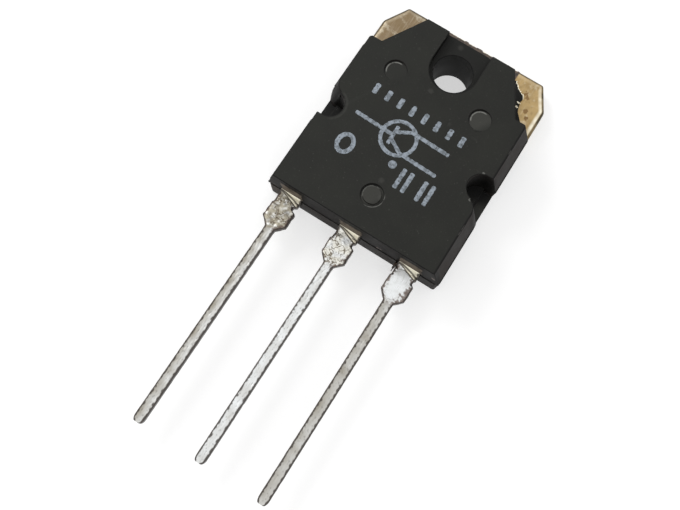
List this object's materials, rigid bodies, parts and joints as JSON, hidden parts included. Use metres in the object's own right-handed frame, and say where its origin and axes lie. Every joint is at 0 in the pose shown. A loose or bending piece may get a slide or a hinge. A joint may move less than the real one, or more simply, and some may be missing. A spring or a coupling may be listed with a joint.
{
  "type": "power transistor",
  "caption": "Flat moulded power transistor with a screw hole, a copper-coloured heat-sink back that stands out at the top, and three long flat leads with wider roots.",
  "frame": {"origin": "on the axis of the screw hole, at the back (heat-sink) face", "axes": "+Z out of the front face along the screw hole, +Y along the part from the leads toward the screw hole, +X to the right as seen from the front (base lead at -X, collector in the middle, emitter at +X)"},
  "size_m": [0.0158, 0.04, 0.0046],
  "materials": {
    "epoxy": "matte, fine-grained",
    "copper": "dull, lightly oxidised; the middle lead is tinned",
    "tinned_copper": "solder-dipped, uneven",
    "silicon": "polished",
    "solder": "dull",
    "bond_wire": "bright drawn"
  },
  "bodies": {
    "root": {"mold_body": "epoxy", "collector_frame": "copper", "base_lead": "tinned_copper", "emitter_lead": "tinned_copper", "silicon_die": "silicon", "die_solder": "solder", "base_wire": "bond_wire", "emitter_wire_1": "bond_wire", "emitter_wire_2": "bond_wire"}
  },
  "joints": []
}
